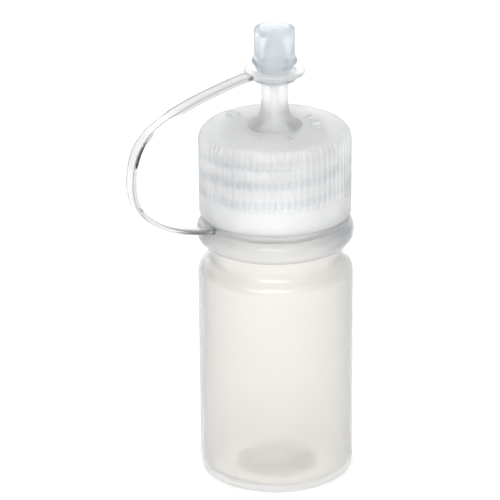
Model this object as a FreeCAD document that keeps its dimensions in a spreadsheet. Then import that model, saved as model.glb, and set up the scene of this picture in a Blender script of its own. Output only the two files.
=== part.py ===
"""Dropper bottle of 15 mL: squeeze bottle, screw closure with a spout, and a tethered overcap.

Millimetres, +Z up. The origin is the centre of the standing face, on the bottle's axis.
The tether's loop reaches towards -X and lies in the XZ plane.
"""
import FreeCAD, Part
import math
import os
import re

import Sketcher

# Driving dimensions, one cell each. A *_radius is measured from the axis, a *_z from the table.
SIZES = {
    # bottle: shell
    "body_radius": 12.5,
    "body_wall": 1.0,
    "base_corner": 1.9,
    "base_inner_corner": 1.4,
    "push_up_radius": 6.2,
    "push_up_flat": 4.8,
    "push_up_height": 1.2,
    "side_top_z": 34.5,
    "shoulder_round": 2.6,
    "groove_radius": 10.9,
    "groove_round": 3.6,
    "collar_radius": 12.6,
    "collar_round": 1.7,
    "collar_top_round": 1.3,
    "collar_bottom_z": 39.9,
    "collar_top_z": 43.5,
    # bottle: neck and thread
    "neck_radius": 8.5,
    "bore_radius": 7.0,
    "lip_z": 57.0,
    "lip_round": 0.3,
    "thread_radius": 9.7,
    "thread_pitch": 3.175,
    "thread_start_z": 46.2,
    "thread_rise": 8.2,
    "thread_root_width": 1.3,
    "thread_crest_width": 0.6,
    "thread_bite": 0.3,
    "thread_gap_turns": 1.5,
    # closure
    "closure_radius": 12.2,
    "closure_bottom_z": 44.9,
    "closure_top_z": 59.3,
    "closure_inner_radius": 10.2,
    "closure_top_wall": 1.4,
    "closure_round": 2.2,
    "closure_inner_round": 0.8,
    "closure_thread_radius": 9.05,
    "closure_thread_rise": 6.0,
    "rib_bottom_z": 48.9,
    "rib_length": 8.1,
    "rib_depth": 0.22,
    "rib_gap": 0.62,
    "rib_count": 72,
    "spout_hole_radius": 4.2,
    # spout
    "hub_radius": 4.15,
    "turn_play": 0.05,
    "flange_radius": 8.6,
    "plug_radius": 6.95,
    "plug_wall": 0.8,
    "plug_length": 3.4,
    "foot_radius": 4.4,
    "foot_edge": 0.35,
    "flare_round": 3.2,
    "flare_top_z": 62.2,
    "stem_radius": 2.2,
    "land_radius": 2.05,
    "land_z": 67.0,
    "land_length": 3.0,
    "tip_radius": 1.1,
    "tip_z": 73.9,
    "tip_round": 0.2,
    "drip_bore_radius": 0.6,
    "funnel_radius": 3.2,
    # overcap
    "cap_radius": 3.25,
    "cap_wall": 0.62,
    "cap_top_z": 75.5,
    "cap_top_wall": 1.0,
    "cap_round": 0.4,
    "cap_ridge_radius": 3.6,
    "cap_ridge_z": 69.9,
    "cap_ridge_land": 0.3,
    "cap_ridge_height": 1.1,
    "cap_neck_radius": 2.85,
    "cap_bottom_z": 66.9,
    "cap_flange_radius": 3.5,
    "cap_flange_height": 0.6,
    "cap_flange_slope": 0.2,
    "cap_socket_radius": 2.11,
    "cap_socket_slope": 1.0,
    # tether
    "eyelet_radius": 4.85,
    "eyelet_hole_radius": 3.2,
    "eyelet_bottom_z": 67.9,
    "eyelet_height": 0.75,
    "ring_radius": 12.0,
    "ring_hole_radius": 9.95,
    "ring_bottom_z": 43.6,
    "ring_height": 1.1,
    "strap_width": 2.6,
    "strap_height": 0.75,
    "strap_gap": 0.05,
    "strap_top_reach": 18.9,
    "strap_top_drop": 2.7,
    "strap_shoulder_reach": 26.6,
    "strap_shoulder_drop": 6.7,
    "strap_side_reach": 27.7,
    "strap_side_drop": 16.4,
    "strap_heel_reach": 21.7,
    "strap_heel_drop": 21.8,
    "strap_root": 1.6,
}

NODES = []


def make_sheet(doc):
    """Put every driving dimension in a cell whose alias is its name."""
    sheet = doc.addObject("Spreadsheet::Sheet", "Sizes")
    for row, (name, value) in enumerate(SIZES.items(), start=1):
        sheet.set(f"A{row}", name)
        sheet.set(f"B{row}", str(value))
        sheet.setAlias(f"B{row}", name)
    doc.recompute()
    return sheet


def bound(formula):
    """Return a formula of sheet names as an expression that any object can hold."""
    return re.sub(r"[a-z]+_\w+", lambda name: "Sizes." + name.group(0), formula)


def value(sheet, formula):
    """Work out a formula of sheet names."""
    return float(sheet.evalExpression(formula))


def new_body(doc, label):
    """Make the body of one sub-part."""
    body = doc.addObject("PartDesign::Body", label)
    body.Label = label
    NODES.append(body)
    return body


def new_sketch(body, name, plane="XZ_Plane", offset=None):
    """Attach a sketch to one of the body's own origin planes, lifted by offset along its normal."""
    sketch = body.newObject("Sketcher::SketchObject", name)
    planes = {feature.Role: feature for feature in body.Origin.OriginFeatures}
    sketch.AttachmentSupport = (planes[plane], [""])
    sketch.MapMode = "FlatFace"
    if offset:
        sketch.setExpression("AttachmentOffset.Base.z", bound(offset))
    return sketch


def arc_between(start, end, radius, side):
    """Return the minor arc from start to end whose centre is left (+1) or right (-1) of the way."""
    way = end - start
    half = way.Length / 2
    square = FreeCAD.Vector(-way.y, way.x, 0).normalize()
    centre = (start + end) / 2 + square * (side * math.sqrt(max(radius**2 - half**2, 0)))
    outward = (start + end) / 2 - centre
    if outward.Length < 1e-6:
        outward = square * -side
    middle = centre + outward.normalize() * radius
    return Part.Arc(start, middle, end)


def pin(sketch, edge, end, corner):
    """Hold one end of an edge at a corner's x and y."""
    for kind, formula in zip(("DistanceX", "DistanceY"), corner[:2]):
        place = sketch.getPoint(edge, end)
        length = place.x if kind == "DistanceX" else place.y
        rule = sketch.addConstraint(Sketcher.Constraint(kind, edge, end, length))
        sketch.setExpression(f"Constraints[{rule}]", bound(formula))


def draw(sheet, sketch, corners, closed=True):
    """Draw an outline through corners, each bound to the sheet.

    A corner is (x, y) or (x, y, radius, side): the last two make an arc of the stretch that leads to it.
    """
    points = [FreeCAD.Vector(value(sheet, corner[0]), value(sheet, corner[1]), 0) for corner in corners]
    stretches = []
    for index in range(0 if closed else 1, len(corners)):
        corner = corners[index]
        if len(corner) == 4:
            radius = value(sheet, corner[2])
            shape = arc_between(points[index - 1], points[index], radius, corner[3])
        else:
            shape = Part.LineSegment(points[index - 1], points[index])
        edge = sketch.addGeometry(shape, False)
        head = 2 if sketch.getPoint(edge, 2).distanceToPoint(points[index]) < 1e-6 else 1
        tail = 3 - head
        pin(sketch, edge, head, corner)
        if len(corner) == 4:
            rule = sketch.addConstraint(Sketcher.Constraint("Radius", edge, radius))
            sketch.setExpression(f"Constraints[{rule}]", bound(corner[2]))
        stretches.append((edge, head, tail))
    for before, after in zip(stretches, stretches[1:]):
        sketch.addConstraint(Sketcher.Constraint("Coincident", before[0], before[1], after[0], after[2]))
    if closed:
        last, first = stretches[-1], stretches[0]
        sketch.addConstraint(Sketcher.Constraint("Coincident", last[0], last[1], first[0], first[2]))
    else:
        pin(sketch, stretches[0][0], stretches[0][2], corners[0])


def revolve(sheet, body, name, corners, cut=False):
    """Turn an outline once round the Z axis, as solid or as a cut."""
    sketch = new_sketch(body, name + "_outline")
    draw(sheet, sketch, corners)
    kind = "PartDesign::Groove" if cut else "PartDesign::Revolution"
    feature = body.newObject(kind, name)
    feature.Profile = sketch
    feature.ReferenceAxis = (sketch, ["V_Axis"])
    feature.Angle = 360
    return feature


def add_thread(sheet, body, name, root, crest, start, rise):
    """Wind a right-hand thread of trapezoid section from root to crest radius, upwards from start."""
    half_root = "thread_root_width / 2"
    half_crest = "thread_crest_width / 2"
    corners = [
        (root, f"{start} - {half_root}"),
        (crest, f"{start} - {half_crest}"),
        (crest, f"{start} + {half_crest}"),
        (root, f"{start} + {half_root}"),
    ]
    sketch = new_sketch(body, name + "_section")
    draw(sheet, sketch, corners)
    helix = body.newObject("PartDesign::AdditiveHelix", name)
    helix.Profile = sketch
    helix.ReferenceAxis = (sketch, ["V_Axis"])
    helix.Mode = 0
    helix.setExpression("Pitch", bound("thread_pitch"))
    helix.setExpression("Height", bound(rise))
    helix.Angle = 0
    helix.LeftHanded = False
    helix.Reversed = False
    return helix


def make_bottle(doc, sheet):
    """Blown bottle: hollow, with a push-up under it, a groove, a collar and a threaded neck."""
    body = new_body(doc, "bottle_body")
    inner_side = "body_radius - body_wall"
    inner_floor = "push_up_height + body_wall"
    shoulder_x = "body_radius - shoulder_round * (1 - cos(45))"
    shoulder_z = "side_top_z + shoulder_round * sin(45)"
    outline = [
        ("0", "push_up_height"),
        ("push_up_flat", "push_up_height"),
        ("push_up_radius", "0"),
        ("body_radius - base_corner", "0"),
        ("body_radius", "base_corner", "base_corner", 1),
        ("body_radius", "side_top_z"),
        (shoulder_x, shoulder_z, "shoulder_round", 1),
        ("groove_radius", "collar_bottom_z", "groove_round", -1),
        ("collar_radius", "collar_bottom_z + collar_round", "collar_round", 1),
        ("collar_radius", "collar_top_z - collar_top_round"),
        ("collar_radius - collar_top_round", "collar_top_z", "collar_top_round", 1),
        ("neck_radius", "collar_top_z"),
        ("neck_radius", "lip_z - lip_round"),
        ("neck_radius - lip_round", "lip_z", "lip_round", 1),
        ("bore_radius + lip_round", "lip_z"),
        ("bore_radius", "lip_z - lip_round", "lip_round", 1),
        ("bore_radius", "collar_bottom_z + collar_round"),
        ("groove_radius - body_wall", "collar_bottom_z - body_wall", "2 * collar_round", 1),
        ("groove_radius - body_wall", "side_top_z + shoulder_round"),
        (inner_side, "side_top_z - body_wall", "2 * shoulder_round", -1),
        (inner_side, "body_wall + base_inner_corner"),
        (f"{inner_side} - base_inner_corner", "body_wall", "base_inner_corner", -1),
        ("push_up_radius", "body_wall"),
        ("push_up_flat", inner_floor),
        ("0", inner_floor),
    ]
    revolve(sheet, body, "shell", outline)
    add_thread(sheet, body, "neck_thread", "neck_radius - thread_bite", "thread_radius",
               "thread_start_z", "thread_rise")
    return body


def make_closure(doc, sheet):
    """Screw closure: ribbed skirt over a plain band, a flat top with a hole, and an inner thread."""
    body = new_body(doc, "closure_shell")
    ceiling = "closure_top_z - closure_top_wall"
    outline = [
        ("closure_inner_radius", "closure_bottom_z"),
        ("closure_radius", "closure_bottom_z"),
        ("closure_radius", "closure_top_z - closure_round"),
        ("closure_radius - closure_round", "closure_top_z", "closure_round", 1),
        ("spout_hole_radius", "closure_top_z"),
        ("spout_hole_radius", ceiling),
        ("closure_inner_radius - closure_inner_round", ceiling),
        ("closure_inner_radius", f"{ceiling} - closure_inner_round", "closure_inner_round", -1),
    ]
    revolve(sheet, body, "skirt", outline)
    notch = new_sketch(body, "rib_notch", "XY_Plane", "rib_bottom_z")
    draw(sheet, notch, [
        ("closure_radius - rib_depth", "0"),
        ("closure_radius + rib_depth", "-rib_gap"),
        ("closure_radius + rib_depth", "rib_gap"),
    ])
    doc.recompute()
    whole = body.Shape.Volume
    groove = body.newObject("PartDesign::Pocket", "rib_groove")
    groove.Profile = notch
    groove.setExpression("Length", bound("rib_length"))
    groove.Reversed = True
    doc.recompute()
    if body.Shape.Volume >= whole:
        raise RuntimeError("the rib groove cut nothing")
    ring = body.newObject("PartDesign::PolarPattern", "ribs")
    ring.Originals = [groove]
    ring.Axis = (notch, ["N_Axis"])
    ring.Angle = 360
    ring.setExpression("Occurrences", bound("rib_count"))
    body.Tip = ring
    start = "thread_start_z + thread_gap_turns * thread_pitch - 2 * turn_play"
    add_thread(sheet, body, "inner_thread", "closure_inner_radius + thread_bite",
               "closure_thread_radius", start, "closure_thread_rise")
    return body


def make_spout(doc, sheet):
    """Spout: a flange and plug inside the closure, a hub through its hole and a tapered stem above."""
    body = new_body(doc, "dropper_spout")
    ceiling = "closure_top_z - closure_top_wall"
    flange_bottom = "lip_z + turn_play"
    foot_z = "closure_top_z + turn_play"
    outline = [
        ("drip_bore_radius", "lip_z + funnel_radius"),
        ("drip_bore_radius", "tip_z"),
        ("tip_radius - tip_round", "tip_z"),
        ("tip_radius", "tip_z - tip_round", "tip_round", -1),
        ("land_radius", "land_z + land_length"),
        ("land_radius", "land_z"),
        ("stem_radius", "flare_top_z"),
        ("foot_radius", f"{foot_z} + foot_edge", "flare_round", 1),
        ("foot_radius", foot_z),
        ("hub_radius", foot_z),
        ("hub_radius", f"{ceiling} - turn_play"),
        ("flange_radius", f"{ceiling} - turn_play"),
        ("flange_radius", flange_bottom),
        ("plug_radius", flange_bottom),
        ("plug_radius", "lip_z - plug_length"),
        ("plug_radius - plug_wall", "lip_z - plug_length"),
        ("plug_radius - plug_wall", flange_bottom),
        ("funnel_radius", flange_bottom),
    ]
    revolve(sheet, body, "spout", outline)
    return body


def make_overcap(doc, sheet):
    """Overcap: a small closed cup over the spout, with a waist that the tether's eyelet sits in."""
    body = new_body(doc, "overcap")
    inner = "cap_radius - cap_wall"
    waist_top = "cap_ridge_z - (cap_ridge_radius - cap_neck_radius)"
    flange_top = "cap_bottom_z + cap_flange_height"
    outline = [
        ("cap_socket_radius", "cap_bottom_z"),
        ("cap_flange_radius", "cap_bottom_z"),
        ("cap_flange_radius", flange_top),
        ("cap_neck_radius", f"{flange_top} + cap_flange_slope"),
        ("cap_neck_radius", waist_top),
        ("cap_ridge_radius", "cap_ridge_z"),
        ("cap_ridge_radius", "cap_ridge_z + cap_ridge_land"),
        ("cap_radius", "cap_ridge_z + cap_ridge_height"),
        ("cap_radius", "cap_top_z - cap_round"),
        ("cap_radius - cap_round", "cap_top_z", "cap_round", 1),
        ("0", "cap_top_z"),
        ("0", "cap_top_z - cap_top_wall"),
        (inner, "cap_top_z - cap_top_wall"),
        (inner, "cap_ridge_z + cap_socket_slope"),
        ("cap_socket_radius", "cap_ridge_z"),
    ]
    revolve(sheet, body, "cup", outline)
    return body


def make_band(doc, sheet, label, hole, outer, bottom, height):
    """One flat ring of the tether, with its edges slightly rounded off."""
    body = new_body(doc, label)
    edge = f"{height} / 4"
    outline = [
        (hole, bottom),
        (f"{outer} - {edge}", bottom),
        (outer, f"{bottom} + {edge}", edge, 1),
        (outer, f"{bottom} + {height} - {edge}"),
        (f"{outer} - {edge}", f"{bottom} + {height}", edge, 1),
        (hole, f"{bottom} + {height}"),
    ]
    revolve(sheet, body, "band", outline)
    return body


def rounded_path(points):
    """Return straight runs through points, joined by tangent arcs as large as the runs allow."""
    joints = []
    for before, corner, after in zip(points, points[1:], points[2:]):
        back, ahead = before - corner, after - corner
        reach = 0.48 * min(back.Length, ahead.Length)
        turn = math.pi - back.getAngle(ahead)
        radius = reach / math.tan(turn / 2)
        inward = (back.normalize() + ahead.normalize()).normalize()
        centre = corner + inward * (radius / math.cos(turn / 2))
        joints.append((corner + back * reach, centre - inward * radius, corner + ahead * reach))
    edges = []
    last = points[0]
    for start, middle, end in joints:
        edges.append(Part.LineSegment(last, start).toShape())
        edges.append(Part.Arc(start, middle, end).toShape())
        last = end
    edges.append(Part.LineSegment(last, points[-1]).toShape())
    return Part.Wire(edges)


def make_strap(doc, sheet):
    """Strap of the tether: a flat band bent in one loop from the eyelet down to the neck ring."""
    top = value(sheet, "eyelet_bottom_z + eyelet_height / 2")
    bottom = value(sheet, "ring_bottom_z + ring_height / 2")
    root = SIZES["strap_root"]
    start = SIZES["eyelet_radius"] + SIZES["strap_gap"]
    end = SIZES["ring_radius"] + SIZES["strap_gap"]
    route = [(start, top), (start + root, top)]
    for place in ("top", "shoulder", "side", "heel"):
        route.append((SIZES[f"strap_{place}_reach"], top - SIZES[f"strap_{place}_drop"]))
    route += [(end + root, bottom), (end, bottom)]
    path = rounded_path([FreeCAD.Vector(-reach, 0, z) for reach, z in route])
    width, height = SIZES["strap_width"], SIZES["strap_height"]
    corner = FreeCAD.Vector(-start, -width / 2, top - height / 2)
    section = Part.makePlane(height, width, corner, FreeCAD.Vector(-1, 0, 0), FreeCAD.Vector(0, 0, 1))
    strap = doc.addObject("Part::Feature", "tether_strap")
    strap.Label = "tether_strap"
    strap.Shape = path.makePipeShell([section.OuterWire], True, False)
    strap.Placement = FreeCAD.Placement()
    NODES.append(strap)
    print("strap length", round(path.Length, 2), "volume", round(strap.Shape.Volume, 2),
          "section times length", round(width * height * path.Length, 2))
    return strap


def check(doc):
    """Stop if any object failed or any sub-part isn't one valid solid."""
    for item in doc.Objects:
        if "Invalid" in item.State or "Error" in item.State:
            raise RuntimeError(f"{item.Label} failed: {item.State}")
    for node in NODES:
        shape = node.Shape
        if shape.isNull() or not shape.isValid() or len(shape.Solids) != 1:
            raise RuntimeError(f"{node.Label} isn't one valid solid")
        print(node.Label, "volume", round(shape.Volume, 1))


def main():
    doc = FreeCAD.newDocument("DropperBottle")
    sheet = make_sheet(doc)
    make_bottle(doc, sheet)
    make_closure(doc, sheet)
    make_spout(doc, sheet)
    make_overcap(doc, sheet)
    make_band(doc, sheet, "tether_eyelet", "eyelet_hole_radius", "eyelet_radius",
              "eyelet_bottom_z", "eyelet_height")
    make_band(doc, sheet, "tether_neck_ring", "ring_hole_radius", "ring_radius",
              "ring_bottom_z", "ring_height")
    make_strap(doc, sheet)
    doc.recompute()
    check(doc)
    os.makedirs("parts", exist_ok=True)
    for node in NODES:
        node.Shape.exportStep(f"parts/{node.Label}.step")


main()
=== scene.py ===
import math

import bmesh
import bpy
from bpy.props import FloatProperty, FloatVectorProperty, IntProperty, PointerProperty
from mathutils import Matrix, Vector


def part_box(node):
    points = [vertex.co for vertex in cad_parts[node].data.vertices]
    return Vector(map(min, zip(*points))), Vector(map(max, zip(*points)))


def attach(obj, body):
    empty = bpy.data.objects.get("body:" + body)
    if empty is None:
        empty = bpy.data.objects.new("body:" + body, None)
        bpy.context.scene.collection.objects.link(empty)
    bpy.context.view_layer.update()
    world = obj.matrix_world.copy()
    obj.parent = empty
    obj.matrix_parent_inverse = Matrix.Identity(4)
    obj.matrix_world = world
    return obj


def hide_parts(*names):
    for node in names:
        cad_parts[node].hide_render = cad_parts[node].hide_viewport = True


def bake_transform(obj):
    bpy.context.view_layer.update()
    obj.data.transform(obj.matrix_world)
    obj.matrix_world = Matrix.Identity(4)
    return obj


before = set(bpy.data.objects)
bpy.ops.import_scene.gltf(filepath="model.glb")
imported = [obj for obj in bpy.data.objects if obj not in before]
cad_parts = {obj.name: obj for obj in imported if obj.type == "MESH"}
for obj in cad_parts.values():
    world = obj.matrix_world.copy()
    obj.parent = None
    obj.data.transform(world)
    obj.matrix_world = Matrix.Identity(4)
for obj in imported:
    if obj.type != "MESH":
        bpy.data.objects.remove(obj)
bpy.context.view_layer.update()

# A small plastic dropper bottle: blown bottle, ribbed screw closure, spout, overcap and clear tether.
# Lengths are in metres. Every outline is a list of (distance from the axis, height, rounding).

bl_info = {
    "name": "Dropper Bottle",
    "version": (1, 0, 0),
    "blender": (4, 5, 0),
    "location": "View3D > Sidebar > Dropper Bottle",
    "description": "Builds a small dropper bottle with a screw closure, a spout and a tethered overcap",
    "category": "Add Mesh",
}

MM = 0.001
BOTTLE_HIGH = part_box("bottle_body")[1]
CLOSURE_LOW, CLOSURE_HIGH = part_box("closure_shell")
SPOUT_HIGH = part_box("dropper_spout")[1]
CAP_LOW, CAP_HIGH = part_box("overcap")
EYELET_LOW, EYELET_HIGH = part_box("tether_eyelet")
RING_LOW, RING_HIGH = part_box("tether_neck_ring")
STRAP_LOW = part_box("tether_strap")[0]

# The gap between neighbouring pieces, the spout's hub in the closure, and the overcap's socket.
PLAY = 0.05 * MM
HUB_RADIUS = 4.15 * MM
SOCKET_RADIUS = 2.11 * MM


def length(name, default, description):
    """Declare one length that a user may change."""
    return FloatProperty(name=name, default=default, description=description, min=0.0,
                         precision=5, subtype="DISTANCE", unit="LENGTH")


def colour(name, default, description):
    """Declare one colour that a user may change."""
    return FloatVectorProperty(name=name, default=default, description=description, min=0.0, max=1.0,
                               size=4, subtype="COLOR")


class BottleSizes(bpy.types.PropertyGroup):
    """Sizes of the blown bottle."""

    radius: length("Radius", 12.5 * MM, "Outer radius of the bottle's side")
    wall: length("Wall", 1.0 * MM, "Thickness of the blown wall")
    base_round: length("Base rounding", 1.9 * MM, "Rounding where the side meets the base")
    push_up_radius: length("Push-up radius", 6.2 * MM, "Radius of the hollow under the base")
    push_up_height: length("Push-up height", 1.2 * MM, "Depth of the hollow under the base")
    shoulder_z: length("Shoulder height", 35.6 * MM, "Height where the side turns in to the groove")
    groove_radius: length("Groove radius", 10.9 * MM, "Outer radius in the groove under the collar")
    collar_radius: length("Collar radius", float(BOTTLE_HIGH[0]), "Outer radius of the thick collar")
    collar_low: length("Collar bottom", 39.9 * MM, "Height of the collar's underside")
    collar_high: length("Collar top", 43.5 * MM, "Height of the collar's upper face")
    neck_radius: length("Neck radius", 8.5 * MM, "Outer radius of the neck between its threads")
    bore_radius: length("Bore radius", 7.0 * MM, "Inner radius of the neck")
    thread_radius: length("Thread radius", 9.7 * MM, "Outer radius of the neck's thread")
    thread_z: length("Thread start", 46.2 * MM, "Height of the middle of the thread at its lower end")
    thread_rise: length("Thread rise", 8.2 * MM, "Height that the thread climbs")
    pitch: length("Pitch", 3.175 * MM, "Height that the thread climbs in one turn")


class ClosureSizes(bpy.types.PropertyGroup):
    """Sizes of the screw closure."""

    radius: length("Radius", float(CLOSURE_HIGH[0]), "Outer radius over the ribs")
    rounding: length("Top rounding", 2.2 * MM, "Rounding of the upper edge")
    inner_radius: length("Inner radius", 10.2 * MM, "Inner radius of the skirt between its threads")
    top_wall: length("Top wall", 1.4 * MM, "Thickness of the flat top")
    thread_radius: length("Thread radius", 9.05 * MM, "Radius of the inner thread's crest")
    band: length("Band", 3.9 * MM, "Height of the plain band below the ribs")
    rib_depth: length("Rib depth", 0.2 * MM, "Depth of the grooves between the ribs")
    rib_count: IntProperty(name="Ribs", default=72, min=12,
                           description="Number of ribs round the skirt")


class SpoutSizes(bpy.types.PropertyGroup):
    """Sizes of the spout."""

    stem_radius: length("Stem radius", 2.2 * MM, "Outer radius just above the flare")
    land_radius: length("Land radius", 2.05 * MM, "Outer radius where the overcap grips")
    tip_radius: length("Tip radius", 1.1 * MM, "Outer radius of the tip")
    foot_radius: length("Foot radius", 4.4 * MM, "Outer radius of the flare on the closure")
    flange_radius: length("Flange radius", float(SPOUT_HIGH[0]),
                          "Outer radius of the flange in the closure")
    bore: length("Bore", 1.2 * MM, "Inner diameter of the stem")


class OvercapSizes(bpy.types.PropertyGroup):
    """Sizes of the overcap."""

    radius: length("Radius", 3.25 * MM, "Outer radius of the cup")
    wall: length("Wall", 0.62 * MM, "Thickness of the cup's wall")
    ridge_radius: length("Ridge radius", float(CAP_HIGH[0]), "Outer radius of the ridge above the eyelet")
    waist_radius: length("Waist radius", 2.85 * MM, "Outer radius inside the eyelet")


class TetherSizes(bpy.types.PropertyGroup):
    """Sizes of the clear tether."""

    eyelet_hole: length("Eyelet hole", 3.2 * MM, "Inner radius of the eyelet")
    ring_hole: length("Ring hole", 9.95 * MM, "Inner radius of the neck ring")
    strap_width: length("Strap width", 2.2 * MM, "Width of the strap's flat side below its step")
    strap_top_width: length("Strap top width", 2.6 * MM, "Width of the strap's flat side above its step")
    step_z: length("Step height", 65.0 * MM, "Height of the step in the strap's width")
    strap_thickness: length("Strap thickness", 0.75 * MM, "Thickness of the strap")


class Finishes(bpy.types.PropertyGroup):
    """Colours of the plastics, of the shade painted on the closure for the neck's thread, and of the
    floor.
    """

    milky: colour("Milky plastic", (0.972, 0.948, 0.903, 1.0), "Bottle")
    # thread is a painted shade: the cooler, darker tint that the closure paints in dashes where the neck's
    # thread shades the light through its skirt.
    thread: colour("Thread", (0.80, 0.86, 0.89, 1.0), "Thread seen through the closure's skirt")
    frosted: colour("Frosted plastic", (0.992, 0.995, 0.995, 1.0), "Closure")
    natural: colour("Natural plastic", (0.985, 0.985, 0.98, 1.0), "Spout")
    bluish: colour("Bluish plastic", (0.91, 0.93, 0.945, 1.0), "Overcap")
    clear: colour("Clear plastic", (0.84, 0.85, 0.85, 1.0), "Lower part of the strap")
    hazy: colour("Hazy plastic", (0.74, 0.75, 0.745, 1.0), "Upper part of the strap")
    soft: colour("Soft plastic", (0.97, 0.975, 0.975, 1.0), "Eyelet and neck ring")
    floor: colour("Floor", (0.96, 0.96, 0.96, 1.0), "Floor under the bottle")


# ---------------------------------------------------------------- shaping

def rounded(corners, facets=8):
    """Return the outline's points, with every corner rounded by its own radius."""
    points = []
    for index, (across, up, rounding) in enumerate(corners):
        here = Vector((across, up))
        if rounding == 0:
            points.append(here)
            continue
        back = (Vector(corners[index - 1][:2]) - here).normalized()
        ahead = (Vector(corners[(index + 1) % len(corners)][:2]) - here).normalized()
        half = back.angle(ahead) / 2
        centre = here + (back + ahead).normalized() * (rounding / math.sin(half))
        start = here + back * (rounding / math.tan(half)) - centre
        turn = start.angle_signed(here + ahead * (rounding / math.tan(half)) - centre)
        count = max(2, round(facets * abs(turn) / (math.pi / 2)))
        for step in range(count + 1):
            points.append(centre + Matrix.Rotation(-turn * step / count, 2) @ start)
    return points


def new_line(name, points):
    """Make a mesh line through points in the XZ plane, left in edit mode."""
    bpy.ops.object.select_all(action="DESELECT")
    bpy.ops.mesh.primitive_plane_add(size=MM)
    piece = bpy.context.object
    piece.name = name
    bpy.ops.object.mode_set(mode="EDIT")
    bpy.ops.mesh.merge(type="CENTER")
    bpy.ops.transform.translate(value=(points[0].x, 0, points[0].y))
    for before, after in zip(points, points[1:]):
        way = after - before
        bpy.ops.mesh.extrude_vertices_move(TRANSFORM_OT_translate={"value": (way.x, 0, way.y)})
    return piece


def lathe(name, corners, steps=144, closed=False, facets=8):
    """Turn an outline once round the Z axis."""
    points = rounded(corners, facets)
    if closed:
        points.append(points[0])
    piece = new_line(name, points)
    bpy.ops.mesh.select_all(action="SELECT")
    bpy.ops.mesh.spin(steps=steps, angle=2 * math.pi, center=(0, 0, 0), axis=(0, 0, 1))
    bpy.ops.mesh.select_all(action="SELECT")
    bpy.ops.mesh.remove_doubles(threshold=MM / 1000)
    bpy.ops.mesh.normals_make_consistent(inside=False)
    bpy.ops.object.mode_set(mode="OBJECT")
    return piece


def wind(name, root, crest, low, rise, pitch):
    """Wind a right-hand thread of trapezoid section upwards from low."""
    half_root, half_crest = 0.65 * MM, 0.3 * MM
    steps_per_turn = 72
    section = [Vector((root, low - half_root)), Vector((crest, low - half_crest)),
               Vector((crest, low + half_crest)), Vector((root, low + half_root)),
               Vector((root, low - half_root))]
    piece = new_line(name, section)
    bpy.ops.mesh.select_all(action="SELECT")
    bpy.ops.mesh.remove_doubles(threshold=MM / 1000)
    bpy.ops.object.mode_set(mode="OBJECT")
    screw = piece.modifiers.new("turns", "SCREW")
    screw.angle = 2 * math.pi * rise / pitch
    screw.screw_offset = rise
    screw.steps = screw.render_steps = round(steps_per_turn * rise / pitch)
    screw.use_merge_vertices = False
    bpy.ops.object.modifier_apply(modifier=screw.name)
    bpy.ops.object.mode_set(mode="EDIT")
    bpy.ops.mesh.select_all(action="SELECT")
    bpy.ops.mesh.fill_holes(sides=4)
    bpy.ops.mesh.normals_make_consistent(inside=False)
    bpy.ops.object.mode_set(mode="OBJECT")
    return piece


def fuse(piece, other):
    """Join another piece into this one as a single solid."""
    bpy.ops.object.select_all(action="DESELECT")
    bpy.context.view_layer.objects.active = piece
    union = piece.modifiers.new("fuse", "BOOLEAN")
    union.operation = "UNION"
    union.solver = "EXACT"
    union.object = other
    bpy.ops.object.modifier_apply(modifier=union.name)
    bpy.data.objects.remove(other, do_unlink=True)


def smooth(piece, angle=35):
    """Shade a piece smoothly except over edges sharper than angle."""
    bpy.ops.object.select_all(action="DESELECT")
    piece.select_set(True)
    bpy.context.view_layer.objects.active = piece
    bpy.ops.object.shade_smooth_by_angle(angle=math.radians(angle))


def hand_over(piece, material, body, slot, *nodes):
    """Give a finished piece its material and its body, and hide the CAD nodes that it stands for. The slot
    is not used.
    """
    piece.data.materials.clear()
    piece.data.materials.append(material)
    if body:
        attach(piece, body)
    if nodes:
        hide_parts(*nodes)


# ---------------------------------------------------------------- materials

GRAIN_STRENGTH = 0.3
GRAIN_DEPTH = 0.05 * MM
COAT_ROUGHNESS = 0.12
SCATTER_RADIUS = (1.0, 0.9, 0.8)
SCATTER_DEPTH = 4 * MM
CLEAR_ROUGHNESS = 0.04
HAZY_ROUGHNESS = 0.32
HAZE_BLEND = 0.2 * MM


def new_group(name, inputs, outputs):
    """Make a node group with named inputs and outputs, and return it with its two end nodes."""
    group = bpy.data.node_groups.new(name, "ShaderNodeTree")
    for label, default in inputs:
        kind = "NodeSocketFloat" if isinstance(default, float) else "NodeSocketColor"
        socket = group.interface.new_socket(label, in_out="INPUT", socket_type=kind)
        socket.default_value = default
    for label, kind in outputs:
        group.interface.new_socket(label, in_out="OUTPUT", socket_type=kind)
    return group, group.nodes.new("NodeGroupInput"), group.nodes.new("NodeGroupOutput")


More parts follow.
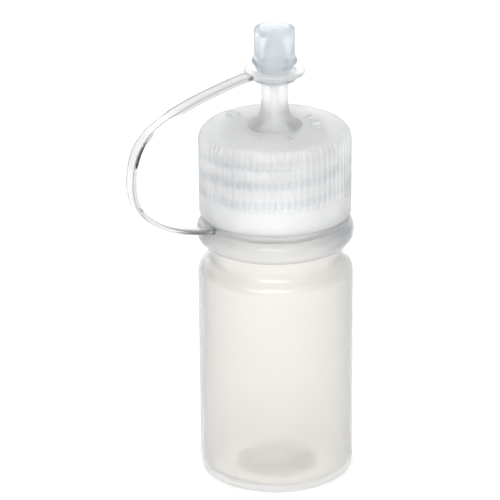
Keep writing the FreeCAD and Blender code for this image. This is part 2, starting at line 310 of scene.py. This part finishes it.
def moulded_grain():
    """Node group: faint clouding of the colour and fine waviness of a moulded plastic surface."""
    name = "moulded grain"
    if name in bpy.data.node_groups:
        return bpy.data.node_groups[name]
    group, given, result = new_group(
        name,
        (("Colour", (1, 1, 1, 1)), ("Clouding", 0.05), ("Cloud scale", 120.0), ("Grain scale", 350.0),
         ("Roughness", 0.3), ("Roughness spread", 0.05)),
        (("Colour", "NodeSocketColor"), ("Roughness", "NodeSocketFloat"), ("Height", "NodeSocketFloat")))
    nodes, links = group.nodes, group.links
    place = nodes.new("ShaderNodeTexCoord")
    clouds = nodes.new("ShaderNodeTexNoise")
    clouds.inputs["Detail"].default_value = 3
    links.new(place.outputs["Object"], clouds.inputs["Vector"])
    links.new(given.outputs["Cloud scale"], clouds.inputs["Scale"])
    grain = nodes.new("ShaderNodeTexNoise")
    grain.inputs["Detail"].default_value = 2
    links.new(place.outputs["Object"], grain.inputs["Vector"])
    links.new(given.outputs["Grain scale"], grain.inputs["Scale"])
    shade = nodes.new("ShaderNodeMath")
    shade.operation = "MULTIPLY"
    links.new(clouds.outputs["Fac"], shade.inputs[0])
    links.new(given.outputs["Clouding"], shade.inputs[1])
    darker = nodes.new("ShaderNodeMix")
    darker.data_type = "RGBA"
    darker.blend_type = "MULTIPLY"
    darker.inputs["B"].default_value = (0.55, 0.58, 0.62, 1)
    links.new(shade.outputs["Value"], darker.inputs["Factor"])
    links.new(given.outputs["Colour"], darker.inputs["A"])
    spread = nodes.new("ShaderNodeMath")
    spread.operation = "MULTIPLY_ADD"
    links.new(grain.outputs["Fac"], spread.inputs[0])
    links.new(given.outputs["Roughness spread"], spread.inputs[1])
    links.new(given.outputs["Roughness"], spread.inputs[2])
    links.new(darker.outputs["Result"], result.inputs["Colour"])
    links.new(spread.outputs["Value"], result.inputs["Roughness"])
    links.new(grain.outputs["Fac"], result.inputs["Height"])
    return group


def plastic(name, tint, transmission, roughness, ior=1.15, clouding=0.02, scatter=0.5, coat=0.0,
            depth=None):
    """Make one translucent plastic. depth is the tint and density that its thickness adds."""
    material = bpy.data.materials.new(name)
    material.use_nodes = True
    nodes, links = material.node_tree.nodes, material.node_tree.links
    shader = nodes["Principled BSDF"]
    surface = nodes.new("ShaderNodeGroup")
    surface.node_tree = moulded_grain()
    surface.inputs["Colour"].default_value = tint
    surface.inputs["Clouding"].default_value = clouding
    surface.inputs["Roughness"].default_value = roughness
    links.new(surface.outputs["Colour"], shader.inputs["Base Color"])
    links.new(surface.outputs["Roughness"], shader.inputs["Roughness"])
    waves = nodes.new("ShaderNodeBump")
    waves.inputs["Strength"].default_value = GRAIN_STRENGTH
    waves.inputs["Distance"].default_value = GRAIN_DEPTH
    links.new(surface.outputs["Height"], waves.inputs["Height"])
    links.new(waves.outputs["Normal"], shader.inputs["Normal"])
    shader.inputs["Metallic"].default_value = 0.0
    shader.inputs["Coat Weight"].default_value = coat
    shader.inputs["Coat Roughness"].default_value = COAT_ROUGHNESS
    shader.inputs["IOR"].default_value = ior
    shader.inputs["Transmission Weight"].default_value = transmission
    shader.inputs["Subsurface Weight"].default_value = scatter
    shader.inputs["Subsurface Radius"].default_value = SCATTER_RADIUS
    shader.inputs["Subsurface Scale"].default_value = SCATTER_DEPTH
    if depth:
        haze = nodes.new("ShaderNodeVolumeAbsorption")
        haze.inputs["Color"].default_value = depth[0]
        haze.inputs["Density"].default_value = depth[1]
        links.new(haze.outputs["Volume"], nodes["Material Output"].inputs["Volume"])
    return material


def height_mask():
    """Node group: a mask that rises from 0 at the height Low to 1 at the height High."""
    name = "height mask"
    if name in bpy.data.node_groups:
        return bpy.data.node_groups[name]
    group, given, result = new_group(name, (("Low", 0.0), ("High", 0.01)), (("Mask", "NodeSocketFloat"),))
    nodes, links = group.nodes, group.links
    place = nodes.new("ShaderNodeTexCoord")
    parts = nodes.new("ShaderNodeSeparateXYZ")
    ramp = nodes.new("ShaderNodeMapRange")
    links.new(place.outputs["Object"], parts.inputs["Vector"])
    links.new(parts.outputs["Z"], ramp.inputs["Value"])
    links.new(given.outputs["Low"], ramp.inputs["From Min"])
    links.new(given.outputs["High"], ramp.inputs["From Max"])
    links.new(ramp.outputs["Result"], result.inputs["Mask"])
    return group


def painted_thread_shade():
    """Node group: a mask of painted shade in dashes along the turns of a right-hand thread round the Z
    axis, one dash for each rib.
    """
    name = "thread bands"
    if name in bpy.data.node_groups:
        return bpy.data.node_groups[name]
    group, given, result = new_group(
        name, (("Start", 0.046), ("Pitch", 0.003), ("End", 0.055), ("Ribs", 72.0)),
        (("Mask", "NodeSocketFloat"),))
    nodes, links = group.nodes, group.links
    gap_strength, dash_strength = 0.3, 1.0
    band_edge, band_core = 0.24, 0.36
    place = nodes.new("ShaderNodeTexCoord")
    parts = nodes.new("ShaderNodeSeparateXYZ")
    links.new(place.outputs["Object"], parts.inputs["Vector"])

    def step(operation, first, second=None):
        """Add one sum to the chain and return its result."""
        node = nodes.new("ShaderNodeMath")
        node.operation = operation
        for socket, term in zip(node.inputs, (first, second)):
            if isinstance(term, (int, float)):
                socket.default_value = term
            elif term:
                links.new(term, socket)
        return node.outputs["Value"]

    height = parts.outputs["Z"]
    turns = step("DIVIDE", step("SUBTRACT", height, given.outputs["Start"]), given.outputs["Pitch"])
    round_axis = step("ARCTAN2", parts.outputs["Y"], parts.outputs["X"])
    angle = step("DIVIDE", round_axis, 2 * math.pi)
    wave = step("COSINE", step("MULTIPLY", round_axis, given.outputs["Ribs"]))
    ribs = step("MULTIPLY", wave, (dash_strength - gap_strength) / 2)
    away = step("ABSOLUTE", step("SUBTRACT", step("FRACT", step("SUBTRACT", turns, angle)), 0.5))
    band = nodes.new("ShaderNodeMapRange")
    band.interpolation_type = "SMOOTHSTEP"
    band.inputs["From Min"].default_value = band_edge
    band.inputs["From Max"].default_value = band_core
    links.new(away, band.inputs["Value"])
    inside = step("MULTIPLY", step("GREATER_THAN", height, given.outputs["Start"]),
                  step("LESS_THAN", height, given.outputs["End"]))
    dashes = step("MULTIPLY", inside, step("ADD", ribs, (dash_strength + gap_strength) / 2))
    links.new(step("MULTIPLY", band.outputs["Result"], dashes), result.inputs["Mask"])
    return group


def paint_thread_shade(material, tint, start, pitch, end, ribs):
    """Paint shade on the closure's plastic: a cooler, darker tint in dashes, for the neck's thread that
    shows through it.
    """
    nodes, links = material.node_tree.nodes, material.node_tree.links
    socket = nodes["Principled BSDF"].inputs["Base Color"]
    mask = nodes.new("ShaderNodeGroup")
    mask.node_tree = painted_thread_shade()
    mask.inputs["Start"].default_value = start
    mask.inputs["Pitch"].default_value = pitch
    mask.inputs["End"].default_value = end
    mask.inputs["Ribs"].default_value = ribs
    blend = nodes.new("ShaderNodeMix")
    blend.data_type = "RGBA"
    blend.inputs["B"].default_value = tint
    links.new(socket.links[0].from_socket, blend.inputs["A"])
    links.new(mask.outputs["Mask"], blend.inputs["Factor"])
    links.new(blend.outputs["Result"], socket)


def strap_finish(look, step):
    """Make the strap's plastic: clear below the step and hazy above it."""
    material = plastic("clear plastic", look.clear, 1.0, CLEAR_ROUGHNESS, ior=1.45, clouding=0.005,
                       scatter=0.0, depth=((0.5, 0.5, 0.5, 1.0), 200.0))
    nodes, links = material.node_tree.nodes, material.node_tree.links
    shader = nodes["Principled BSDF"]
    mask = nodes.new("ShaderNodeGroup")
    mask.node_tree = height_mask()
    mask.inputs["Low"].default_value = step - HAZE_BLEND
    mask.inputs["High"].default_value = step + HAZE_BLEND
    tint = nodes.new("ShaderNodeMix")
    tint.data_type = "RGBA"
    tint.inputs["A"].default_value = look.clear
    tint.inputs["B"].default_value = look.hazy
    links.new(mask.outputs["Mask"], tint.inputs["Factor"])
    links.new(tint.outputs["Result"], shader.inputs["Base Color"])
    rough = nodes.new("ShaderNodeMapRange")
    rough.inputs["To Min"].default_value = CLEAR_ROUGHNESS
    rough.inputs["To Max"].default_value = HAZY_ROUGHNESS
    links.new(mask.outputs["Mask"], rough.inputs["Value"])
    links.new(rough.outputs["Result"], shader.inputs["Roughness"])
    return material


def floor_finish(tint):
    """Make the plain pale floor."""
    material = bpy.data.materials.new("floor")
    material.use_nodes = True
    nodes, links = material.node_tree.nodes, material.node_tree.links
    shader = nodes["Principled BSDF"]
    noise = nodes.new("ShaderNodeTexNoise")
    noise.inputs["Scale"].default_value = 4
    ramp = nodes.new("ShaderNodeValToRGB")
    ramp.color_ramp.elements[0].color = [0.98 * part for part in tint[:3]] + [1]
    ramp.color_ramp.elements[1].color = tint
    place = nodes.new("ShaderNodeTexCoord")
    links.new(place.outputs["Object"], noise.inputs["Vector"])
    links.new(noise.outputs["Fac"], ramp.inputs["Fac"])
    links.new(ramp.outputs["Color"], shader.inputs["Base Color"])
    shader.inputs["Roughness"].default_value = 0.6
    links.new(ramp.outputs["Color"], shader.inputs["Emission Color"])
    shader.inputs["Emission Strength"].default_value = FLOOR_GLOW
    return material


def flag_finish():
    """Make the dark matt cloth of the cards beside the bottle."""
    material = bpy.data.materials.new("flag")
    material.use_nodes = True
    shader = material.node_tree.nodes["Principled BSDF"]
    shader.inputs["Base Color"].default_value = (0.03, 0.03, 0.035, 1)
    shader.inputs["Roughness"].default_value = 0.9
    return material


# ---------------------------------------------------------------- pieces

class DROPPER_OT_bottle(bpy.types.Operator):
    """Blown bottle with a push-up, a groove, a collar and a threaded neck"""

    bl_idname = "dropper.bottle"
    bl_label = "Bottle"

    def execute(self, context):
        size = context.scene.dropper_bottle
        look = context.scene.dropper_finishes
        lip = float(BOTTLE_HIGH[2])
        inner = size.radius - size.wall
        slope = size.radius - size.groove_radius
        corners = [
            (0, size.push_up_height, 0),
            (size.push_up_radius - 1.4 * MM, size.push_up_height, 1.0 * MM),
            (size.push_up_radius, 0, 0.5 * MM),
            (size.radius, 0, size.base_round),
            (size.radius, size.shoulder_z, 2.5 * MM),
            (size.groove_radius - 0.1 * MM, size.shoulder_z + slope, 3.0 * MM),
            (size.groove_radius, size.collar_low, 0.12 * MM),
            (size.collar_radius, size.collar_low, 1.65 * MM),
            (size.collar_radius, size.collar_high, 1.3 * MM),
            (size.neck_radius, size.collar_high, 0.3 * MM),
            (size.neck_radius, lip, 0.4 * MM),
            (size.bore_radius, lip, 0.4 * MM),
            (size.bore_radius, size.collar_low + 2.4 * MM, 3.0 * MM),
            (size.groove_radius - size.wall, size.collar_low - 0.5 * MM, 2.0 * MM),
            (size.groove_radius - size.wall, size.shoulder_z + slope - 0.6 * MM, 1.0 * MM),
            (inner, size.shoulder_z - 0.7 * MM, 2.2 * MM),
            (inner, size.wall, 1.4 * MM),
            (size.push_up_radius + 0.2 * MM, size.wall, 0.8 * MM),
            (size.push_up_radius - 1.3 * MM, size.push_up_height + size.wall, 1.0 * MM),
            (0, size.push_up_height + size.wall, 0),
        ]
        bottle = lathe("bottle", corners)
        thread = wind("thread", size.neck_radius - 0.3 * MM, size.thread_radius, size.thread_z,
                      size.thread_rise, size.pitch)
        fuse(bottle, thread)
        smooth(bottle)
        milky = plastic("milky plastic", look.milky, 0.85, 0.33, ior=1.2, coat=0.7,
                        depth=((0.51, 0.58, 0.70, 1.0), 90.0))
        hand_over(bottle, milky, "bottle", "milky_plastic", "bottle_body")
        return {"FINISHED"}


class DROPPER_OT_closure(bpy.types.Operator):
    """Screw closure with a plain band, fine ribs, a rounded edge and an inner thread"""

    bl_idname = "dropper.closure"
    bl_label = "Closure"

    def execute(self, context):
        size = context.scene.dropper_closure
        neck = context.scene.dropper_bottle
        look = context.scene.dropper_finishes
        low, high = float(CLOSURE_LOW[2]), float(CLOSURE_HIGH[2])
        hole = HUB_RADIUS + PLAY
        ceiling = high - size.top_wall
        steps_per_rib = 4
        rib_low, rib_high = low + size.band, high - size.rounding
        corners = [
            (size.inner_radius, low, 0.3 * MM),
            (size.radius, low, 0.35 * MM),
            (size.radius, rib_low, 0),
            (size.radius, rib_low + 0.25 * MM, 0),
            (size.radius, rib_high - 0.25 * MM, 0),
            (size.radius, high, size.rounding),
            (hole, high, 0.1 * MM),
            (hole, ceiling, 0.1 * MM),
            (size.inner_radius, ceiling, 0.8 * MM),
        ]
        steps = steps_per_rib * size.rib_count
        closure = lathe("closure", corners, steps=steps, closed=True, facets=10)
        bpy.ops.object.mode_set(mode="EDIT")
        bpy.ops.mesh.select_all(action="DESELECT")
        mesh = bmesh.from_edit_mesh(closure.data)
        for vertex in mesh.verts:
            step = round(math.atan2(vertex.co.y, vertex.co.x) / (2 * math.pi) * steps)
            outside = math.hypot(vertex.co.x, vertex.co.y) > size.radius - 0.5 * MM
            between = rib_low + 0.1 * MM < vertex.co.z < high - 0.9 * MM
            vertex.select = outside and between and step % steps_per_rib < steps_per_rib / 2
        mesh.select_flush_mode()
        bmesh.update_edit_mesh(closure.data)
        inward = 1 - size.rib_depth / size.radius
        bpy.ops.transform.resize(value=(inward, inward, 1), center_override=(0, 0, 0))
        bpy.ops.object.mode_set(mode="OBJECT")
        start = neck.thread_z + 1.5 * neck.pitch - 0.1 * MM
        rise = 6.0 * MM
        thread = wind("thread", size.inner_radius + 0.3 * MM, size.thread_radius, start, rise, neck.pitch)
        fuse(closure, thread)
        smooth(closure, 28)
        frosted = plastic("frosted plastic", look.frosted, 0.6, 0.28)
        # The dashes of painted shade sit a little over half a pitch above the neck's own thread.
        bands = neck.thread_z + 0.55 * neck.pitch
        paint_thread_shade(frosted, look.thread, bands, neck.pitch, bands + neck.thread_rise, size.rib_count)
        hand_over(closure, frosted, "closure", "translucent_plastic", "closure_shell")
        self.marks(high, frosted)
        return {"FINISHED"}

    def marks(self, high, material):
        """Raise a ringed pad and some plain strokes on the closure's flat top."""
        sunk, proud = high - 0.02 * MM, high + 0.25 * MM
        pad_radius, ring_inner, ring_outer = 0.75 * MM, 1.05 * MM, 1.35 * MM
        edge = 0.08 * MM
        pad_away, pad_azimuth = 8.2 * MM, 108
        stroke_away, stroke_azimuths = 6.6 * MM, (-48, -36, -24, -12, 0, -150, -104)
        stroke_length, stroke_width, stroke_edge = 1.3 * MM, 0.4 * MM, 0.06 * MM
        pad = lathe("mark_pad", [(0, sunk, 0), (pad_radius, sunk, 0), (pad_radius, proud, edge),
                                 (0, proud, 0)], steps=32)
        ring = lathe("mark_ring", [(ring_inner, sunk, 0), (ring_outer, sunk, 0), (ring_outer, proud, edge),
                                   (ring_inner, proud, edge)], steps=48, closed=True)
        pieces = [self.placed(pad, pad_away, pad_azimuth), self.placed(ring, pad_away, pad_azimuth)]
        for number, azimuth in enumerate(stroke_azimuths):
            bpy.ops.object.select_all(action="DESELECT")
            bpy.ops.mesh.primitive_cube_add(size=1)
            stroke = bpy.context.object
            stroke.name = f"mark_stroke_{number}"
            bpy.ops.object.mode_set(mode="EDIT")
            bpy.ops.transform.resize(value=(stroke_length, stroke_width, proud - sunk),
                                     center_override=(0, 0, 0))
            bpy.ops.transform.translate(value=(0, 0, (proud + sunk) / 2))
            bpy.ops.mesh.bevel(offset=stroke_edge, segments=2)
            bpy.ops.object.mode_set(mode="OBJECT")
            pieces.append(self.placed(stroke, stroke_away, azimuth))
        for piece in pieces:
            smooth(piece)
            hand_over(piece, material, "closure", "translucent_plastic")

    def placed(self, piece, away, azimuth):
        """Move a mark out from the axis and turn it round to its azimuth in degrees."""
        bpy.ops.object.select_all(action="DESELECT")
        piece.select_set(True)
        bpy.context.view_layer.objects.active = piece
        bpy.ops.object.mode_set(mode="EDIT")
        bpy.ops.mesh.select_all(action="SELECT")
        bpy.ops.transform.translate(value=(away, 0, 0))
        bpy.ops.transform.rotate(value=-math.radians(azimuth), orient_axis="Z", center_override=(0, 0, 0))
        bpy.ops.object.mode_set(mode="OBJECT")
        return piece


class DROPPER_OT_spout(bpy.types.Operator):
    """Spout with a flared foot, a tapered stem, and a flange and plug inside the closure"""

    bl_idname = "dropper.spout"
    bl_label = "Spout"

    def execute(self, context):
        size = context.scene.dropper_spout
        neck = context.scene.dropper_bottle
        closure = context.scene.dropper_closure
        look = context.scene.dropper_finishes
        tip = float(SPOUT_HIGH[2])
        foot = float(CLOSURE_HIGH[2]) + PLAY
        ceiling = float(CLOSURE_HIGH[2]) - closure.top_wall - PLAY
        lip = float(BOTTLE_HIGH[2])
        seat = lip + PLAY
        plug = neck.bore_radius - PLAY
        plug_inner = plug - 0.8 * MM
        plug_low = lip - 3.4 * MM
        land_low, land_high = 67.0 * MM, 70.0 * MM
        bore = size.bore / 2
        corners = [
            (bore, lip + 3.2 * MM, 1.0 * MM),
            (bore, tip, 0.1 * MM),
            (size.tip_radius, tip, 0.25 * MM),
            (size.land_radius, land_high, 1.0 * MM),
            (size.land_radius, land_low, 0),
            (size.stem_radius, foot + 2.6 * MM, 3.5 * MM),
            (size.stem_radius + 0.75 * MM, foot + 0.9 * MM, 1.6 * MM),
            (size.foot_radius, foot + 0.12 * MM, 0.05 * MM),
            (size.foot_radius, foot, 0.05 * MM),
            (HUB_RADIUS, foot, 0),
            (HUB_RADIUS, ceiling, 0),
            (size.flange_radius, ceiling, 0.15 * MM),
            (size.flange_radius, seat, 0.15 * MM),
            (plug, seat, 0),
            (plug, plug_low, 0.3 * MM),
            (plug_inner, plug_low, 0.2 * MM),
            (plug_inner, seat, 0.4 * MM),
            (3.2 * MM, seat, 0.4 * MM),
        ]
        spout = lathe("spout", corners, steps=96, closed=True)
        smooth(spout)
        natural = plastic("natural plastic", look.natural, 0.65, 0.29,
                          depth=((0.50, 0.52, 0.56, 1.0), 35.0))
        hand_over(spout, natural, "spout", "natural_plastic", "dropper_spout")
        return {"FINISHED"}


class DROPPER_OT_overcap(bpy.types.Operator):
    """Overcap: a small cup with a dished top, a ridge and a waist for the eyelet"""

    bl_idname = "dropper.overcap"
    bl_label = "Overcap"

    def execute(self, context):
        size = context.scene.dropper_overcap
        look = context.scene.dropper_finishes
        low, high = float(CAP_LOW[2]), float(CAP_HIGH[2])
        ridge = float(EYELET_HIGH[2]) + 1.25 * MM
        inner = size.radius - size.wall
        foot_radius = 3.5 * MM
        dish = high - 0.25 * MM
        gate = high - 0.05 * MM
        ceiling = high - 1.0 * MM
        corners = [
            (SOCKET_RADIUS, low, 0.1 * MM),
            (foot_radius, low, 0.25 * MM),
            (foot_radius, low + 0.6 * MM, 0.15 * MM),
            (size.waist_radius, low + 0.8 * MM, 0.1 * MM),
            (size.waist_radius, ridge - 0.75 * MM, 0.1 * MM),
            (size.ridge_radius, ridge, 0.15 * MM),
            (size.ridge_radius, ridge + 0.3 * MM, 0.2 * MM),
            (size.radius, ridge + 1.1 * MM, 0.4 * MM),
            (size.radius, high, 0.45 * MM),
            (size.radius - 0.9 * MM, high, 0.2 * MM),
            (size.radius - 1.2 * MM, dish, 0.2 * MM),
            (0.55 * MM, dish, 0.1 * MM),
            (0.4 * MM, gate, 0.1 * MM),
            (0, gate, 0),
            (0, ceiling, 0),
            (inner, ceiling, 0.4 * MM),
            (inner, ridge + 1.0 * MM, 0.3 * MM),
            (SOCKET_RADIUS, ridge, 0.2 * MM),
        ]
        cap = lathe("overcap", corners, steps=96, closed=True)
        smooth(cap)
        bluish = plastic("bluish plastic", look.bluish, 0.85, 0.28, ior=1.2,
                         depth=((0.55, 0.70, 0.82, 1.0), 90.0))
        hand_over(cap, bluish, "overcap", "bluish_plastic", "overcap")
        return {"FINISHED"}


class DROPPER_OT_tether(bpy.types.Operator):
    """Clear tether: eyelet, strap loop and neck ring"""

    bl_idname = "dropper.tether"
    bl_label = "Tether"

    def execute(self, context):
        size = context.scene.dropper_tether
        look = context.scene.dropper_finishes
        clear = strap_finish(look, size.step_z)
        soft = plastic("soft clear plastic", look.soft, 0.75, 0.28, ior=1.12)
        eyelet = self.band("eyelet", size.eyelet_hole, EYELET_LOW, EYELET_HIGH)
        hand_over(eyelet, soft, "overcap", "clear_plastic", "tether_eyelet")
        ring = self.band("neck_ring", size.ring_hole, RING_LOW, RING_HIGH)
        hand_over(ring, soft, "tether", "clear_plastic", "tether_neck_ring")
        strap = self.strap(size)
        hand_over(strap, clear, None, "clear_plastic", "tether_strap")
        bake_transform(strap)
        return {"FINISHED"}

    def band(self, name, hole, low, high):
        """Make one flat ring with rounded edges, between the heights of a CAD ring."""
        bottom, top = float(low[2]), float(high[2])
        outer = float(high[0])
        edge = (top - bottom) * 0.4
        band = lathe(name, [(hole, bottom, edge), (outer, bottom, edge), (outer, top, edge),
                            (hole, top, edge)], closed=True, facets=5)
        smooth(band)
        return band

    def strap(self, size):
        """Make the strap as a flat ribbon along a smooth loop, then give it its thickness."""
        top = float(EYELET_LOW[2] + EYELET_HIGH[2]) / 2
        bottom = float(RING_LOW[2] + RING_HIGH[2]) / 2
        reach = -float(STRAP_LOW[0]) - size.strap_thickness / 2
        start, end = float(EYELET_HIGH[0]), float(RING_HIGH[0])
        root = 1.6 * MM
        edge, edge_steps = 0.22 * MM, 3
        route = [
            (start, top),
            (start + root, top),
            (18.9 * MM, top - 2.7 * MM),
            (26.6 * MM, top - 6.7 * MM),
            (reach + 0.35 * MM, top - 16.4 * MM),
            (21.7 * MM, top - 21.8 * MM),
            (end + root, bottom),
            (end, bottom),
        ]
        curve = bpy.data.curves.new("strap", "CURVE")
        curve.dimensions = "2D"
        curve.resolution_u = 12
        spline = curve.splines.new("NURBS")
        spline.points.add(len(route) - 1)
        for point, (across, up) in zip(spline.points, route):
            point.co = (-across, up, 0, 1)
        spline.order_u = 3
        spline.use_endpoint_u = True
        curve.extrude = size.strap_width / 2
        strap = bpy.data.objects.new("strap", curve)
        bpy.context.collection.objects.link(strap)
        strap.rotation_euler.x = math.pi / 2
        bpy.ops.object.select_all(action="DESELECT")
        strap.select_set(True)
        bpy.context.view_layer.objects.active = strap
        bpy.ops.object.convert(target="MESH")
        bpy.ops.object.transform_apply(location=True, rotation=True, scale=True)
        bpy.ops.object.mode_set(mode="EDIT")
        bpy.ops.mesh.select_all(action="DESELECT")
        mesh = bmesh.from_edit_mesh(strap.data)
        for vertex in mesh.verts:
            vertex.select = vertex.co.z > size.step_z
        mesh.select_flush_mode()
        bmesh.update_edit_mesh(strap.data)
        wider = size.strap_top_width / size.strap_width
        bpy.ops.transform.resize(value=(1, wider, 1), center_override=(0, 0, 0))
        bpy.ops.object.mode_set(mode="OBJECT")
        wall = strap.modifiers.new("thickness", "SOLIDIFY")
        wall.thickness = size.strap_thickness
        wall.offset = 0
        wall.use_even_offset = True
        bpy.ops.object.modifier_apply(modifier=wall.name)
        soft = strap.modifiers.new("edges", "BEVEL")
        soft.width = edge
        soft.segments = edge_steps
        soft.limit_method = "ANGLE"
        soft.angle_limit = math.radians(50)
        bpy.ops.object.modifier_apply(modifier=soft.name)
        smooth(strap)
        return strap


# ---------------------------------------------------------------- stage

CAMERA_AZIMUTH = math.radians(-35)
CAMERA_ELEVATION = math.radians(22)
CAMERA_DISTANCE = 0.480
CAMERA_LENS = 214.6
CAMERA_ROLL = math.radians(0.5)
AIM_HEIGHT = 0.0379
AIM_LEFT = 0.0041
WALL = 1.01
CEILING = 0.92
FLOOR_GLOW = 0.3
PLASTIC_BOUNCES = 24
FLAG_ASIDE = 0.2
FLAG_HEIGHT = 0.16
FLAG_SIZE = 0.26
STRIP_ELEVATION = math.radians(34)
STRIP_DISTANCE = 0.6
STRIP_LENGTH = 0.5
STRIP_WIDTH = 0.07
STRIP_POWER = 1.0


def towards_camera(elevation):
    """Return the direction from the bottle towards the camera's side, at an elevation of its own."""
    level = Vector((math.sin(CAMERA_AZIMUTH), -math.cos(CAMERA_AZIMUTH), 0))
    return level * math.cos(elevation) + Vector((0, 0, math.sin(elevation)))


class DROPPER_OT_stage(bpy.types.Operator):
    """Pale floor, soft light and camera"""

    bl_idname = "dropper.stage"
    bl_label = "Stage"

    def execute(self, context):
        look = context.scene.dropper_finishes
        bpy.ops.object.select_all(action="DESELECT")
        bpy.ops.mesh.primitive_circle_add(vertices=64, radius=1.6, fill_type="NGON", location=(0, 0, 0))
        floor = context.object
        floor.name = "floor"
        floor.data.materials.append(floor_finish(look.floor))
        self.flag("left flag", -FLAG_ASIDE)
        self.flag("right flag", FLAG_ASIDE)
        above = Vector((0, 0, AIM_HEIGHT)) + towards_camera(STRIP_ELEVATION) * STRIP_DISTANCE
        self.light("strip", above, STRIP_LENGTH, STRIP_POWER, STRIP_WIDTH)
        self.light("key", (-0.5, -0.5, 0.55), 0.4, 1.2)
        self.light("fill", (0.6, -0.3, 0.4), 0.4, 0.8)
        self.light("back", (0.2, 0.7, 0.5), 0.5, 0.8)
        context.scene.world = self.studio()
        self.camera(context)
        context.scene.view_settings.view_transform = "Standard"
        context.scene.cycles.max_bounces = PLASTIC_BOUNCES
        context.scene.cycles.transmission_bounces = PLASTIC_BOUNCES
        return {"FINISHED"}

    def studio(self):
        """Make the surroundings: white walls that fall off to a greyer ceiling."""
        world = bpy.data.worlds.new("studio")
        world.use_nodes = True
        nodes, links = world.node_tree.nodes, world.node_tree.links
        place = nodes.new("ShaderNodeTexCoord")
        parts = nodes.new("ShaderNodeSeparateXYZ")
        links.new(place.outputs["Generated"], parts.inputs["Vector"])
        ramp = nodes.new("ShaderNodeValToRGB")
        ramp.color_ramp.elements[0].position = 0.1
        ramp.color_ramp.elements[0].color = (WALL, WALL, WALL, 1)
        ramp.color_ramp.elements[1].position = 0.8
        ramp.color_ramp.elements[1].color = (CEILING, CEILING, CEILING, 1)
        links.new(parts.outputs["Z"], ramp.inputs["Fac"])
        links.new(ramp.outputs["Color"], nodes["Background"].inputs["Color"])
        return world

    def flag(self, name, aside):
        """Add one dark upright card beside the bottle, which draws its edges and isn't seen itself."""
        right = Vector((math.cos(CAMERA_AZIMUTH), math.sin(CAMERA_AZIMUTH), 0))
        bpy.ops.object.select_all(action="DESELECT")
        bpy.ops.mesh.primitive_plane_add(size=FLAG_SIZE,
                                         location=right * aside + Vector((0, 0, FLAG_HEIGHT)),
                                         rotation=(math.pi / 2, 0, math.pi / 2 + CAMERA_AZIMUTH))
        card = bpy.context.object
        card.name = name
        card.data.materials.append(flag_finish())
        card.visible_camera = False

    def light(self, name, place, size, power, width=None):
        """Add one soft light that faces the bottle: a square, or a strip if it has a width of its own."""
        lamp = bpy.data.lights.new(name, "AREA")
        lamp.size = size
        if width:
            lamp.shape = "RECTANGLE"
            lamp.size_y = width
        lamp.energy = power
        holder = bpy.data.objects.new(name, lamp)
        bpy.context.collection.objects.link(holder)
        holder.location = place
        aim = Vector((0, 0, AIM_HEIGHT)) - Vector(place)
        holder.rotation_euler = aim.to_track_quat("-Z", "Y").to_euler()

    def camera(self, context):
        """Add the camera that looks at the bottle from the front left, a little above it."""
        lens = bpy.data.cameras.new("camera")
        lens.lens = CAMERA_LENS
        lens.sensor_width = 36
        lens.clip_start = 0.01
        camera = bpy.data.objects.new("camera", lens)
        context.collection.objects.link(camera)
        ahead = Vector((-math.sin(CAMERA_AZIMUTH), math.cos(CAMERA_AZIMUTH), 0))
        right = Vector((ahead.y, -ahead.x, 0))
        away = towards_camera(CAMERA_ELEVATION)
        aim = Vector((0, 0, AIM_HEIGHT)) - right * AIM_LEFT
        camera.location = aim + away * CAMERA_DISTANCE
        turn = (-away).to_track_quat("-Z", "Y").to_matrix().to_4x4()
        camera.rotation_euler = (turn @ Matrix.Rotation(-CAMERA_ROLL, 4, "Z")).to_euler()
        context.scene.camera = camera


class DROPPER_PT_panel(bpy.types.Panel):
    """Sidebar panel that lists the pieces"""

    bl_idname = "DROPPER_PT_panel"
    bl_label = "Dropper Bottle"
    bl_space_type = "VIEW_3D"
    bl_region_type = "UI"
    bl_category = "Dropper Bottle"

    def draw(self, context):
        for operator in OPERATORS:
            self.layout.operator(operator.bl_idname)
        for name in GROUPS:
            box = self.layout.box()
            box.label(text=name.replace("_", " "))
            sizes = getattr(context.scene, name)
            for prop in sizes.bl_rna.properties:
                if prop.identifier not in {"rna_type", "name"}:
                    box.prop(sizes, prop.identifier)


GROUPS = {
    "dropper_bottle": BottleSizes,
    "dropper_closure": ClosureSizes,
    "dropper_spout": SpoutSizes,
    "dropper_overcap": OvercapSizes,
    "dropper_tether": TetherSizes,
    "dropper_finishes": Finishes,
}
OPERATORS = (DROPPER_OT_bottle, DROPPER_OT_closure, DROPPER_OT_spout, DROPPER_OT_overcap,
             DROPPER_OT_tether, DROPPER_OT_stage)


def register():
    """Register every class and give the scene its sizes and finishes."""
    for name, group in GROUPS.items():
        bpy.utils.register_class(group)
        setattr(bpy.types.Scene, name, PointerProperty(type=group))
    for item in OPERATORS + (DROPPER_PT_panel,):
        bpy.utils.register_class(item)


def unregister():
    """Take back what register added."""
    for item in reversed(OPERATORS + (DROPPER_PT_panel,)):
        bpy.utils.unregister_class(item)
    for name, group in reversed(GROUPS.items()):
        delattr(bpy.types.Scene, name)
        bpy.utils.unregister_class(group)


def main():
    """Build every piece and the stage."""
    register()
    bpy.ops.dropper.bottle()
    bpy.ops.dropper.closure()
    bpy.ops.dropper.spout()
    bpy.ops.dropper.overcap()
    bpy.ops.dropper.tether()
    bpy.ops.dropper.stage()


if __name__ == "__main__":
    main()
